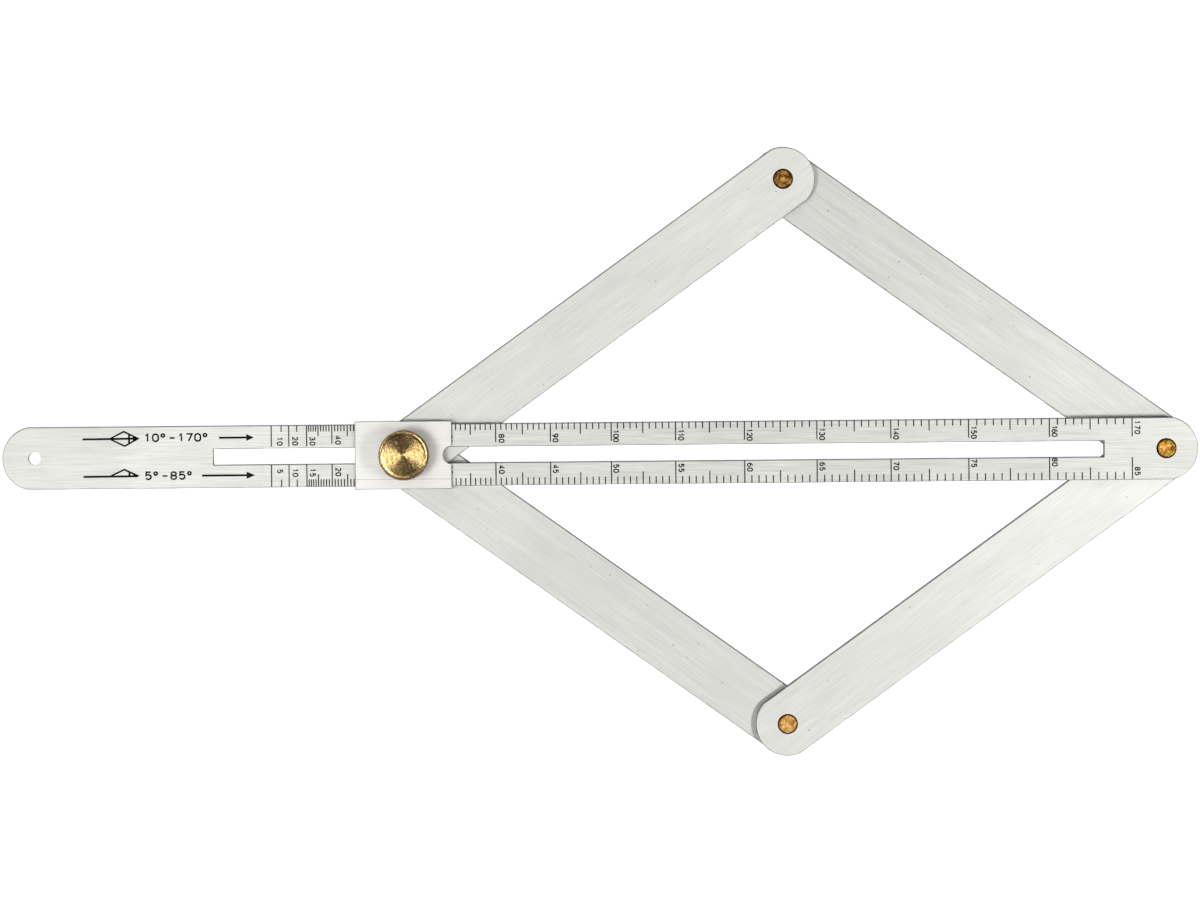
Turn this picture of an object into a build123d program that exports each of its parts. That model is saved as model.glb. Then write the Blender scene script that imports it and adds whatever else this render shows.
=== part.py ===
from build123d import *
from math import cos, radians, sin, sqrt
import os

# An angle finder: a slotted scale ruler with four equal link arms that form a rhombus.
# Frame: origin on the table under the ruler's mid-length, +X along the ruler towards its
# riveted end, +Z up out of the table. Millimetres and degrees.

# Flat bar that the ruler and the arms are cut from
BAR_WIDTH = 20.0
BAR_THICKNESS = 2.0
END_RADIUS = 10.25
EDGE_BREAK = 0.24

# Linkage
ARM_PITCH = 150.0
REST_HALF_ANGLE = 35.67

# Scale ruler
HANG_HOLE_TO_RIVET = 362.4
HANG_HOLE_RADIUS = 2.0
SLOT_WIDTH = 5.0
HANG_HOLE_TO_SLOT = 57.4
SLOT_TO_RIVET = 20.0

# Rivets: a flat foot under the arms, a shank, and a set head sunk in a counterbore
FOOT_RADIUS = 4.0
FOOT_THICKNESS = 1.0
SHANK_RADIUS = 2.25
RIVET_HEAD_RADIUS = 2.9
HEAD_PROUD = 0.6
HEAD_ROUNDING = 0.45
COUNTERBORE_RADIUS = 3.25
COUNTERBORE_DEPTH = 0.8
FOOT_ROUNDING = 0.4

# Nylon washers between the layers
WASHER_THICKNESS = 0.4
WASHER_RADIUS = 6.0
CLAMP_WASHER_RADIUS = 7.0

# Running clearance, on the radius, of every pin in its hole
PIN_CLEARANCE = 0.05

# Clamp screw
SCREW_HEAD_RADIUS = 5.0
SCREW_SHANK_RADIUS = 3.0
SCREW_FLATS = 4.8
THREAD_RADIUS = 2.45
SHOULDER_DROP = 0.1
NECK_DROP = 0.2
THREAD_IN_KNOB = 5.5
THREAD_TIP_CHAMFER = 0.4

# Slider: a channel that straddles the ruler
SLIDER_TO_LEFT = 16.0
SLIDER_TO_INDEX = 15.0
SLIDER_TOP_THICKNESS = 1.2
SLIDER_WALL = 0.8
SLIDER_SIDE_GAP = 0.1
SLIDER_TOP_GAP = 0.05
SLIDER_WALL_CLEAR = 0.2
SLIDER_EDGE_BREAK = 0.2
NOTCH_RADIUS = 3.0
SLIDER_HOLE_RADIUS = 2.7

# Knurled clamp knob and its washer
KNOB_WASHER_THICKNESS = 0.5
KNOB_WASHER_RADIUS = 5.0
KNOB_RADIUS = 8.0
KNOB_HEIGHT = 8.0
KNOB_HUB_RADIUS = 5.6
KNOB_HUB_HEIGHT = 1.0
KNOB_BORE_DEPTH = 6.0
KNOB_BEVEL = 0.5
KNURL_TEETH = 100
KNURL_DEPTH = 0.22

# Places of the four joints of the rhombus and of the ruler's ends
rivet_x = HANG_HOLE_TO_RIVET / 2
hang_x = -rivet_x
slot_left_x = hang_x + HANG_HOLE_TO_SLOT
slot_right_x = rivet_x - SLOT_TO_RIVET
corner_x = rivet_x - ARM_PITCH * cos(radians(REST_HALF_ANGLE))
corner_y = ARM_PITCH * sin(radians(REST_HALF_ANGLE))
clamp_x = rivet_x - 2 * ARM_PITCH * cos(radians(REST_HALF_ANGLE))

# Heights of the layers above the table
low_arm_z = FOOT_THICKNESS
low_washer_z = low_arm_z + BAR_THICKNESS
high_arm_z = low_washer_z + WASHER_THICKNESS
high_washer_z = high_arm_z + BAR_THICKNESS
ruler_z = high_washer_z + WASHER_THICKNESS
ruler_top_z = ruler_z + BAR_THICKNESS
slider_under_z = ruler_top_z + SLIDER_TOP_GAP
slider_top_z = slider_under_z + SLIDER_TOP_THICKNESS
knob_z = slider_top_z + KNOB_WASHER_THICKNESS

# Straight edges run this far past the end holes before they meet the round ends
edge_overrun = sqrt(END_RADIUS**2 - (BAR_WIDTH / 2) ** 2)

rivet_hole_radius = SHANK_RADIUS + PIN_CLEARANCE
screw_hole_radius = SCREW_SHANK_RADIUS + PIN_CLEARANCE

os.makedirs("parts", exist_ok=True)


def finish(piece, label):
    """Label a finished piece and write it to its own file."""
    piece.part.label = label
    export_step(piece.part, f"parts/{label}.step")
    return piece


def bar_outline(pitch):
    """Face of a flat bar with round ends, from its first end hole to the second, along X."""
    half = BAR_WIDTH / 2
    first = -edge_overrun
    last = pitch + edge_overrun
    with BuildSketch() as outline:
        with BuildLine():
            Line((first, -half), (last, -half))
            ThreePointArc((last, -half), (pitch + END_RADIUS, 0), (last, half))
            Line((last, half), (first, half))
            ThreePointArc((first, half), (-END_RADIUS, 0), (first, -half))
        make_face()
    return outline.sketch


def break_edges(piece):
    """Take the sharpness off the top and bottom edges of a flat bar and of a slot in it."""
    levels = piece.faces().filter_by(Axis.Z).sort_by(Axis.Z)
    chamfer(levels[0].edges() + levels[-1].edges(), EDGE_BREAK)


def make_arm(label, start, end, bottom_z, start_hole, end_hole, set_head_at=None):
    """Link arm from start to end, with a counterbore where a set rivet head is sunk in it."""
    along = Vector(*end) - Vector(*start)
    arm_plane = Plane((start[0], start[1], bottom_z), x_dir=along, z_dir=(0, 0, 1))
    top_z = bottom_z + BAR_THICKNESS
    with BuildPart() as arm:
        with BuildSketch(arm_plane):
            add(bar_outline(ARM_PITCH))
        extrude(amount=BAR_THICKNESS)
        break_edges(arm)
        for place, radius in ((start, start_hole), (end, end_hole)):
            with Locations((place[0], place[1], top_z)):
                if place == set_head_at:
                    CounterBoreHole(radius, COUNTERBORE_RADIUS, COUNTERBORE_DEPTH)
                else:
                    Hole(radius)
    return finish(arm, label)


def make_rivet(label, place, top_z):
    """Rivet from the table up to a head that stands a little proud of the strip it is sunk in."""
    seat_z = top_z - COUNTERBORE_DEPTH
    with BuildPart() as rivet:
        with BuildSketch(Plane((place[0], place[1], 0))):
            Circle(FOOT_RADIUS)
        extrude(amount=FOOT_THICKNESS)
        fillet(rivet.edges().group_by(Axis.Z)[0], FOOT_ROUNDING)
        with BuildSketch(Plane((place[0], place[1], FOOT_THICKNESS))):
            Circle(SHANK_RADIUS)
        extrude(amount=seat_z - FOOT_THICKNESS)
        with BuildSketch(Plane((place[0], place[1], seat_z))):
            Circle(RIVET_HEAD_RADIUS)
        extrude(amount=COUNTERBORE_DEPTH + HEAD_PROUD)
        fillet(rivet.edges().group_by(Axis.Z)[-1], HEAD_ROUNDING)
    return finish(rivet, label)


def make_washer(label, place, bottom_z, outer_radius, inner_radius, thickness):
    """Flat washer round a pin."""
    with BuildPart() as washer:
        with BuildSketch(Plane((place[0], place[1], bottom_z))):
            Circle(outer_radius)
            Circle(inner_radius, mode=Mode.SUBTRACT)
        extrude(amount=thickness)
    return finish(washer, label)


rivet_place = (rivet_x, 0)
top_place = (corner_x, corner_y)
bottom_place = (corner_x, -corner_y)
clamp_place = (clamp_x, 0)

# Scale ruler: a long slot for the clamp, a hole to hang it by and a counterbored rivet hole
with BuildPart() as scale_ruler:
    with BuildSketch(Plane((hang_x, 0, ruler_z))):
        add(bar_outline(HANG_HOLE_TO_RIVET))
    extrude(amount=BAR_THICKNESS)
    with BuildSketch(Plane(((slot_left_x + slot_right_x) / 2, 0, ruler_z))):
        Rectangle(slot_right_x - slot_left_x, SLOT_WIDTH)
    extrude(amount=BAR_THICKNESS, mode=Mode.SUBTRACT)
    break_edges(scale_ruler)
    with Locations((hang_x, 0, ruler_top_z)):
        Hole(HANG_HOLE_RADIUS)
    with Locations((rivet_x, 0, ruler_top_z)):
        CounterBoreHole(rivet_hole_radius, COUNTERBORE_RADIUS, COUNTERBORE_DEPTH)
finish(scale_ruler, "scale_ruler")

# Link arms: one of each pair lies in the upper layer, directly under the ruler, the other
# in the lower layer
make_arm(
    "upper_left_arm",
    clamp_place,
    top_place,
    high_arm_z,
    screw_hole_radius,
    rivet_hole_radius,
    set_head_at=top_place,
)
make_arm(
    "lower_right_arm",
    rivet_place,
    bottom_place,
    high_arm_z,
    rivet_hole_radius,
    rivet_hole_radius,
    set_head_at=bottom_place,
)
make_arm(
    "upper_right_arm",
    rivet_place,
    top_place,
    low_arm_z,
    rivet_hole_radius,
    rivet_hole_radius,
)
make_arm(
    "lower_left_arm",
    clamp_place,
    bottom_place,
    low_arm_z,
    screw_hole_radius,
    rivet_hole_radius,
)

# Rivets
make_rivet("top_rivet", top_place, high_arm_z + BAR_THICKNESS)
make_rivet("bottom_rivet", bottom_place, high_arm_z + BAR_THICKNESS)
make_rivet("ruler_rivet", rivet_place, ruler_top_z)

# Nylon washers between the layers
for label, place, bottom_z in (
    ("top_pivot_washer", top_place, low_washer_z),
    ("bottom_pivot_washer", bottom_place, low_washer_z),
    ("ruler_pivot_washer_lower", rivet_place, low_washer_z),
    ("ruler_pivot_washer_upper", rivet_place, high_washer_z),
):
    make_washer(label, place, bottom_z, WASHER_RADIUS, rivet_hole_radius, WASHER_THICKNESS)
for label, bottom_z in (
    ("clamp_washer_lower", low_washer_z),
    ("clamp_washer_upper", high_washer_z),
):
    make_washer(label, clamp_place, bottom_z, CLAMP_WASHER_RADIUS, screw_hole_radius, WASHER_THICKNESS)

# Clamp screw: flat head under the arms, round shank in them, a neck with two flats that keep
# it from turning in the slot, and a thread up into the knob
neck_z = ruler_z - SHOULDER_DROP
neck_top_z = ruler_top_z - NECK_DROP
with BuildPart() as clamp_screw:
    with BuildSketch(Plane((clamp_x, 0, 0))):
        Circle(SCREW_HEAD_RADIUS)
    extrude(amount=FOOT_THICKNESS)
    fillet(clamp_screw.edges().group_by(Axis.Z)[0], FOOT_ROUNDING)
    with BuildSketch(Plane((clamp_x, 0, FOOT_THICKNESS))):
        Circle(SCREW_SHANK_RADIUS)
    extrude(amount=neck_z - FOOT_THICKNESS)
    with BuildSketch(Plane((clamp_x, 0, neck_z))):
        Circle(SCREW_SHANK_RADIUS)
        Rectangle(2 * SCREW_SHANK_RADIUS, SCREW_FLATS, mode=Mode.INTERSECT)
    extrude(amount=neck_top_z - neck_z)
    with BuildSketch(Plane((clamp_x, 0, neck_top_z))):
        Circle(THREAD_RADIUS)
    extrude(amount=knob_z + THREAD_IN_KNOB - neck_top_z)
    chamfer(clamp_screw.edges().group_by(Axis.Z)[-1], THREAD_TIP_CHAMFER)
finish(clamp_screw, "clamp_screw")

# Slider: an upside-down channel, its walls beside the ruler's edges, with a half-round notch
# over the slot in the right-hand edge, which is the index that reads the scale
channel_half = BAR_WIDTH / 2 + SLIDER_SIDE_GAP
slider_width = 2 * (channel_half + SLIDER_WALL)
wall_foot_z = ruler_z + SLIDER_WALL_CLEAR
slider_left_x = clamp_x - SLIDER_TO_LEFT
slider_length = SLIDER_TO_LEFT + SLIDER_TO_INDEX
with BuildPart() as slider:
    with BuildSketch(Plane((slider_left_x + slider_length / 2, 0, wall_foot_z))):
        Rectangle(slider_length, slider_width)
    extrude(amount=slider_top_z - wall_foot_z)
    chamfer(slider.edges().group_by(Axis.Z)[-1], SLIDER_EDGE_BREAK)
    with BuildSketch(Plane((slider_left_x + slider_length / 2, 0, wall_foot_z))):
        Rectangle(slider_length, 2 * channel_half)
    extrude(amount=slider_under_z - wall_foot_z, mode=Mode.SUBTRACT)
    with Locations((clamp_x, 0, slider_top_z)):
        Hole(SLIDER_HOLE_RADIUS)
    with Locations((clamp_x + SLIDER_TO_INDEX, 0, slider_top_z)):
        Hole(NOTCH_RADIUS)
finish(slider, "slider")

# Knob washer
make_washer(
    "knob_washer",
    clamp_place,
    slider_top_z,
    KNOB_WASHER_RADIUS,
    THREAD_RADIUS + PIN_CLEARANCE,
    KNOB_WASHER_THICKNESS,
)

# Clamp knob: a blind thumb nut with a hub, a straight-knurled rim and bevelled corners
rim_z = knob_z + KNOB_HUB_HEIGHT
knob_top_z = knob_z + KNOB_HEIGHT
with BuildPart() as clamp_knob:
    with BuildSketch(Plane((clamp_x, 0, rim_z))):
        Circle(KNOB_RADIUS)
    extrude(amount=knob_top_z - rim_z)
    chamfer(clamp_knob.edges().group_by(Axis.Z)[-1], KNOB_BEVEL)
    chamfer(clamp_knob.edges().group_by(Axis.Z)[0], KNOB_BEVEL)
    with BuildSketch(Plane((clamp_x, 0, rim_z))):
        with PolarLocations(KNOB_RADIUS, KNURL_TEETH):
            RegularPolygon(KNURL_DEPTH, 4)
    extrude(amount=knob_top_z - rim_z, mode=Mode.SUBTRACT)
    with BuildSketch(Plane((clamp_x, 0, knob_z))):
        Circle(KNOB_HUB_RADIUS)
    extrude(amount=KNOB_HUB_HEIGHT)
    with BuildSketch(Plane((clamp_x, 0, knob_z))):
        Circle(THREAD_RADIUS + PIN_CLEARANCE)
    extrude(amount=KNOB_BORE_DEPTH, mode=Mode.SUBTRACT)
finish(clamp_knob, "clamp_knob")

print(f"clamp at x {clamp_x:.3f}, corner rivets at x {corner_x:.3f}, y {corner_y:.3f}")
print(f"ruler from z {ruler_z:.2f} to {ruler_top_z:.2f}, knob top at z {knob_top_z:.2f}")
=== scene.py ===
from math import atan2, cos, pi, radians, sin

import bpy
import numpy as np
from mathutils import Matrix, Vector


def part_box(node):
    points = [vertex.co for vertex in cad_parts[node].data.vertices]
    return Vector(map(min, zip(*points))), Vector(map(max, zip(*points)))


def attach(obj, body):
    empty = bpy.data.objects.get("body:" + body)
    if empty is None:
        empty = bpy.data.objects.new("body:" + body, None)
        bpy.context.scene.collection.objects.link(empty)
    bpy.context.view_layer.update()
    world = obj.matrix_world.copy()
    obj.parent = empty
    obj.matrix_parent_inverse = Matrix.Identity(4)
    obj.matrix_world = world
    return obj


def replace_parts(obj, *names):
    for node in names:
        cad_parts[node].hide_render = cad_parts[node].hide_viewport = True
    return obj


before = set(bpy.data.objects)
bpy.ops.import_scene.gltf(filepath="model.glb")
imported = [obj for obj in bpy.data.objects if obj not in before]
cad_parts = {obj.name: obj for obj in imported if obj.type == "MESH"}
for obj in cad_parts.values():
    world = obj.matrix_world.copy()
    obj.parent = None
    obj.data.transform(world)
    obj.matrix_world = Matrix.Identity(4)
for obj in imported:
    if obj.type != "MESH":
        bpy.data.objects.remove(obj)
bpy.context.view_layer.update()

# An angle finder: a slotted scale ruler and four link arms in brushed aluminium, with a turned
# brass clamp knob and hammered brass rivets. Sizes are written in millimetres, and MM turns them
# into the metres of the frame. Places of the camera, the lamps and the joints are in metres.
MM = 0.001

# Flat bar of the ruler and the arms, the ruler's slot, and the linkage
BAR_HALF = 10.0
END_RADIUS = 10.25
EDGE_BREAK = 0.24
SLOT_LEFT = -123.8
SLOT_RIGHT = 161.2
SLOT_HALF = 2.5
ARM_PITCH = 150.0
INDEX_TO_CLAMP = 15.0


# ---------------------------------------------------------------- camera and light
SENSOR = 36.0
LENS = 93.007
CAMERA_PLACE = (-1.45 * MM, 8.67 * MM, 1000.0 * MM)
CAMERA_TURN = (radians(-0.4376), radians(-0.08), radians(-0.5277))

camera_data = bpy.data.cameras.new("overhead_camera")
camera_data.sensor_fit = "HORIZONTAL"
camera_data.sensor_width = SENSOR
camera_data.lens = LENS
camera_data.clip_start = 0.01
camera_data.clip_end = 50.0
camera = bpy.data.objects.new("overhead_camera", camera_data)
bpy.context.collection.objects.link(camera)
camera.location = CAMERA_PLACE
camera.rotation_euler = CAMERA_TURN
bpy.context.scene.camera = camera
bpy.context.scene.view_settings.view_transform = "Standard"

WARM_WHITE = (1.0, 0.992, 0.97)
# Place of each lamp, the point that it faces, its width and its watts
LAMPS = {
    "left_softbox": ((-0.235, -0.069, 0.519), (-0.06, 0.0, 0.0), 0.16, 1.2),
    "right_softbox": ((0.561, -0.121, 0.749), (0.06, -0.05, 0.0), 0.16, 4.7),
    "front_softbox": ((0.0, -0.691, 0.691), (0.0, 0.0, 0.0), 0.3, 1.07),
    "back_softbox": ((-0.054, 0.647, 0.649), (0.0, 0.0, 0.0), 0.3, 0.98),
}


def hang_softbox(name, place, aim, size, watts):
    """Square lamp at a place, turned to face a point on the object."""
    lamp_data = bpy.data.lights.new(name, "AREA")
    lamp_data.shape = "SQUARE"
    lamp_data.size = size
    lamp_data.energy = watts
    lamp_data.color = WARM_WHITE
    lamp = bpy.data.objects.new(name, lamp_data)
    bpy.context.collection.objects.link(lamp)
    lamp.location = place
    lamp.rotation_euler = (Vector(place) - Vector(aim)).to_track_quat("Z", "Y").to_euler()
    lamp.visible_camera = False


for lamp_name, lamp_settings in LAMPS.items():
    hang_softbox(lamp_name, *lamp_settings)


# ---------------------------------------------------------------- node helpers
def add_node(tree, kind, inputs=None, **settings):
    """New shader node; inputs holds a value or an output socket for each named or numbered input."""
    node = tree.nodes.new(kind)
    for key, value in settings.items():
        setattr(node, key, value)
    for key, value in (inputs or {}).items():
        if isinstance(value, bpy.types.NodeSocket):
            tree.links.new(value, node.inputs[key])
        else:
            node.inputs[key].default_value = value
    return node


def calculate(tree, operation, *values, clamp=False):
    """Math node on one to three values or sockets; returns its result."""
    inputs = dict(enumerate(values))
    return add_node(tree, "ShaderNodeMath", inputs, operation=operation, use_clamp=clamp).outputs[0]


def vector_math(tree, operation, *values):
    """Vector Math node on one to three values or sockets; returns its outputs."""
    return add_node(tree, "ShaderNodeVectorMath", dict(enumerate(values)), operation=operation).outputs


def stretch(tree, vector, factors, shift=(0.0, 0.0, 0.0)):
    """Vector times factors plus shift, axis by axis."""
    return vector_math(tree, "MULTIPLY_ADD", vector, factors, shift)[0]


def parts_of(tree, vector):
    """The three parts of a vector, each a socket."""
    return add_node(tree, "ShaderNodeSeparateXYZ", {0: vector}).outputs


def remap(tree, value, low, high, new_low, new_high):
    """Straight map of a value from one range to another, held at its ends."""
    inputs = {0: value, 1: low, 2: high, 3: new_low, 4: new_high}
    return add_node(tree, "ShaderNodeMapRange", inputs).outputs[0]


def noise(tree, vector, seed, detail, roughness):
    """Smooth noise at a vector, one of many by its seed; returns its value."""
    inputs = {"Vector": vector, "W": seed, "Scale": 1.0, "Detail": detail, "Roughness": roughness}
    return add_node(tree, "ShaderNodeTexNoise", inputs, noise_dimensions="4D").outputs[0]


def tinted(colour, factor=1.0):
    """A colour made darker or lighter, with its alpha."""
    return (colour[0] * factor, colour[1] * factor, colour[2] * factor, 1.0)


def blend_colours(tree, factor, first, second):
    """Mix of two colours by a factor; each is a socket, or a plain red, green and blue."""
    pair = [part if isinstance(part, bpy.types.NodeSocket) else tinted(part) for part in (first, second)]
    node = add_node(tree, "ShaderNodeMix", {0: factor, 6: pair[0], 7: pair[1]}, data_type="RGBA")
    return node.outputs[2]


def start_group(name, takes, gives):
    """Shader node group with named sockets; returns tree, input node and output node."""
    kinds = {"value": "NodeSocketFloat", "vector": "NodeSocketVector"}
    tree = bpy.data.node_groups.new(name, "ShaderNodeTree")
    for label, (kind, default) in takes.items():
        socket = tree.interface.new_socket(label, in_out="INPUT", socket_type=kinds[kind])
        if default is not None:
            socket.default_value = default
    for label, kind in gives.items():
        tree.interface.new_socket(label, in_out="OUTPUT", socket_type=kinds[kind])
    return tree, tree.nodes.new("NodeGroupInput"), tree.nodes.new("NodeGroupOutput")


def use_group(tree, group, inputs):
    """Places a group in a material with its own values."""
    return add_node(tree, "ShaderNodeGroup", inputs, node_tree=group)


# ---------------------------------------------------------------- shared surface effects
def make_brush_marks():
    """Long fine scratches of a belt finish: noise squeezed across the strip and drawn out along X."""
    takes = {
        "Vector": ("vector", None),
        "Mark Length": ("value", 30.0),
        "Mark Width": ("value", 0.25),
        "Seed": ("value", 0.0),
    }
    tree, given, result = start_group("brush_marks", takes, {"Fine": "value", "Broad": "value"})
    long_step = calculate(tree, "DIVIDE", 1.0, given.outputs["Mark Length"])
    wide_step = calculate(tree, "DIVIDE", 1.0, given.outputs["Mark Width"])
    steps = add_node(tree, "ShaderNodeCombineXYZ", {0: long_step, 1: wide_step, 2: wide_step})
    fine_place = stretch(tree, given.outputs["Vector"], steps.outputs[0])
    broad_place = stretch(tree, fine_place, (0.35, 0.11, 0.11), (7.3, 2.1, 0.0))
    fine = noise(tree, fine_place, given.outputs["Seed"], 3.0, 0.65)
    broad = noise(tree, broad_place, given.outputs["Seed"], 2.0, 0.5)
    tree.links.new(remap(tree, fine, 0.36, 0.64, 0.0, 1.0), result.inputs["Fine"])
    tree.links.new(remap(tree, broad, 0.38, 0.62, 0.0, 1.0), result.inputs["Broad"])
    return tree


def make_pits():
    """Scattered small dents: cells of a Voronoi pattern, of which the chosen share hold a ragged spot."""
    takes = {
        "Vector": ("vector", None),
        "Spacing": ("value", 6.0),
        "Size": ("value", 0.3),
        "Share": ("value", 0.3),
        "Seed": ("value", 0.0),
    }
    tree, given, result = start_group("pits", takes, {"Mask": "value"})
    step = calculate(tree, "DIVIDE", 1.0, given.outputs["Spacing"])
    place = stretch(tree, given.outputs["Vector"], step, given.outputs["Seed"])
    cells = add_node(tree, "ShaderNodeTexVoronoi", {"Vector": place, "Scale": 1.0}, voronoi_dimensions="2D")
    ragged_place = stretch(tree, given.outputs["Vector"], (2.2, 4.5, 4.5))
    ragged = noise(tree, ragged_place, given.outputs["Seed"], 2.0, 0.6)
    draws = add_node(tree, "ShaderNodeSeparateColor", {0: cells.outputs["Color"]})
    growth = remap(tree, draws.outputs[1], 0.0, 1.0, 0.5, 1.5)
    grown = calculate(tree, "MULTIPLY", given.outputs["Size"], growth)
    size = calculate(tree, "MULTIPLY", grown, remap(tree, ragged, 0.35, 0.65, 0.2, 1.6))
    radius = calculate(tree, "MULTIPLY", size, step)
    inner = calculate(tree, "MULTIPLY", radius, 0.4)
    spot = remap(tree, cells.outputs["Distance"], inner, radius, 1.0, 0.0)
    chosen = calculate(tree, "LESS_THAN", draws.outputs[0], given.outputs["Share"])
    tree.links.new(calculate(tree, "MULTIPLY", spot, chosen), result.inputs["Mask"])
    return tree


def make_handling_dust():
    """Soft cloudy smudges from handling: low noise held between two levels."""
    takes = {"Vector": ("vector", None), "Patch Size": ("value", 20.0), "Seed": ("value", 0.0)}
    tree, given, result = start_group("handling_dust", takes, {"Mask": "value"})
    step = calculate(tree, "DIVIDE", 1.0, given.outputs["Patch Size"])
    clouds = noise(tree, stretch(tree, given.outputs["Vector"], step), given.outputs["Seed"], 4.0, 0.55)
    tree.links.new(remap(tree, clouds, 0.42, 0.68, 0.0, 1.0), result.inputs["Mask"])
    return tree


def make_turning_marks():
    """Rings left by a lathe: noise over the radius times a ring density, drawn out round the axis Z.
    Speck is a shorter grain in the same direction and Reach is the distance from the axis."""
    takes = {"Vector": ("vector", None), "Rings": ("value", 5.0), "Seed": ("value", 0.0)}
    gives = {"Ring": "value", "Speck": "value", "Reach": "value"}
    tree, given, result = start_group("turning_marks", takes, gives)
    flat = stretch(tree, given.outputs["Vector"], (1.0, 1.0, 0.0))
    reach = vector_math(tree, "LENGTH", flat)["Value"]
    aim = vector_math(tree, "NORMALIZE", flat)[0]
    depth = calculate(tree, "MULTIPLY", reach, given.outputs["Rings"])
    lift = add_node(tree, "ShaderNodeCombineXYZ", {2: depth})
    ring_place = stretch(tree, aim, (1.0, 1.0, 0.0), lift.outputs[0])
    ring = noise(tree, ring_place, given.outputs["Seed"], 2.0, 0.6)
    speck = noise(tree, stretch(tree, ring_place, (9.0, 9.0, 0.8)), given.outputs["Seed"], 3.0, 0.7)
    tree.links.new(remap(tree, ring, 0.3, 0.7, 0.0, 1.0), result.inputs["Ring"])
    tree.links.new(remap(tree, speck, 0.4, 0.6, 0.0, 1.0), result.inputs["Speck"])
    tree.links.new(reach, result.inputs["Reach"])
    return tree


def make_edge_finish():
    """Where a strip's face ends: Break is 1 on its slanted edges, Wall is 1 on its upright sides and
    Shaded Side is 1 on the side that faces +Y, whose colour is painted dark as shade."""
    gives = {"Break": "value", "Wall": "value", "Shaded Side": "value"}
    tree, given, result = start_group("edge_finish", {"Normal": ("vector", None)}, gives)
    facing = parts_of(tree, given.outputs["Normal"])
    level = calculate(tree, "ABSOLUTE", facing[2])
    off_face = remap(tree, level, 0.8, 0.97, 1.0, 0.0)
    off_wall = remap(tree, level, 0.2, 0.5, 0.0, 1.0)
    tree.links.new(remap(tree, facing[1], 0.3, 0.8, 0.0, 1.0), result.inputs["Shaded Side"])
    tree.links.new(calculate(tree, "MULTIPLY", off_face, off_wall), result.inputs["Break"])
    tree.links.new(calculate(tree, "SUBTRACT", 1.0, off_wall), result.inputs["Wall"])
    return tree


# The painted shade beside an edge that faces +Y is full up to the first of these distances in from
# the outline, and gone past the second
EDGE_SHADE_FROM = 0.26
EDGE_SHADE_TO = 0.56


def make_rolled_edge():
    """Painted shade beside a strip's edge, in its face: 1 at the edge break and 0 further in, on sides
    that face Up. The distance to the outline is the smaller of those to the straight side
    and to the end's arc round its pivot, half a length away from the strip's middle."""
    takes = {"Vector": ("vector", None), "Half Length": ("value", 75.0), "Up": ("vector", None)}
    tree, given, result = start_group("edge_shade_band", takes, {"Mask": "value"})
    along, aside, _ = parts_of(tree, given.outputs["Vector"])
    run = calculate(tree, "ABSOLUTE", along)
    beyond = calculate(tree, "SUBTRACT", run, given.outputs["Half Length"])
    past_pivot = calculate(tree, "MAXIMUM", beyond, 0.0)
    signed = calculate(tree, "MULTIPLY", past_pivot, calculate(tree, "SIGN", along))
    from_line = add_node(tree, "ShaderNodeCombineXYZ", {0: signed, 1: aside}).outputs[0]
    reach = vector_math(tree, "LENGTH", from_line)["Value"]
    outward = vector_math(tree, "NORMALIZE", from_line)[0]
    facing = vector_math(tree, "DOT_PRODUCT", outward, given.outputs["Up"])["Value"]
    to_side = calculate(tree, "SUBTRACT", BAR_HALF, calculate(tree, "ABSOLUTE", aside))
    to_end = calculate(tree, "SUBTRACT", END_RADIUS, reach)
    inward = calculate(tree, "MINIMUM", to_side, to_end)
    near = remap(tree, inward, EDGE_SHADE_FROM, EDGE_SHADE_TO, 1.0, 0.0)
    dark_side = remap(tree, facing, 0.3, 0.8, 0.0, 1.0)
    tree.links.new(calculate(tree, "MULTIPLY", near, dark_side), result.inputs["Mask"])
    return tree


brush_marks = make_brush_marks()
pits = make_pits()
handling_dust = make_handling_dust()
turning_marks = make_turning_marks()
edge_finish = make_edge_finish()
edge_shade_band = make_rolled_edge()


# ---------------------------------------------------------------- materials
def coordinates_of(tree, kind):
    """Coordinates of a material: Object, in metres, or Normal."""
    return tree.nodes["Texture Coordinate"].outputs[kind]


def start_material(name, centre=(0.0, 0.0, 0.0), turn=0.0):
    """Material with a Principled shader; also gives Object coordinates in millimetres, round a centre
    and turned about Z."""
    material = bpy.data.materials.new(name)
    material.use_nodes = True
    tree = material.node_tree
    tree.nodes.new("ShaderNodeTexCoord")
    place = {
        "Vector": coordinates_of(tree, "Object"),
        "Location": centre,
        "Rotation": (0.0, 0.0, turn),
        "Scale": (MM, MM, MM),
    }
    local = add_node(tree, "ShaderNodeMapping", place, vector_type="TEXTURE")
    return material, tree, tree.nodes["Principled BSDF"], local.outputs[0]


def shade(tree, shader, colour, roughness, height, strength, depth):
    """Links a colour, a roughness and a relief height, of a depth in millimetres, to the shader."""
    tree.links.new(colour, shader.inputs["Base Color"])
    tree.links.new(roughness, shader.inputs["Roughness"])
    bump = add_node(tree, "ShaderNodeBump", {"Strength": strength, "Distance": depth * MM, "Height": height})
    tree.links.new(bump.outputs[0], shader.inputs["Normal"])


def tune(shader, **values):
    """Sets plain values on the shader's own sockets; an underscore stands for a space."""
    for socket, value in values.items():
        shader.inputs[socket.replace("_", " ")].default_value = value


# Tones of bare aluminium where it isn't brushed, painted dark as shade on the walls and on the edges
# that face +Y, and of the painted shade beside those edges and round a rivet's head
SHADED_EDGE_TONE = (0.045, 0.05, 0.065)
WORN_SHADED_EDGE_TONE = (0.09, 0.1, 0.13)
EDGE_TONE = (0.27, 0.275, 0.28)
WORN_EDGE_TONE = (0.64, 0.64, 0.63)
WALL_TONE = (0.15, 0.157, 0.17)
PIT_TONE = (0.16, 0.16, 0.15)
EDGE_SHADE_TONE = (0.13, 0.14, 0.16)
SEAT_SHADE_TONE = (0.012, 0.01, 0.009)
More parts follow.
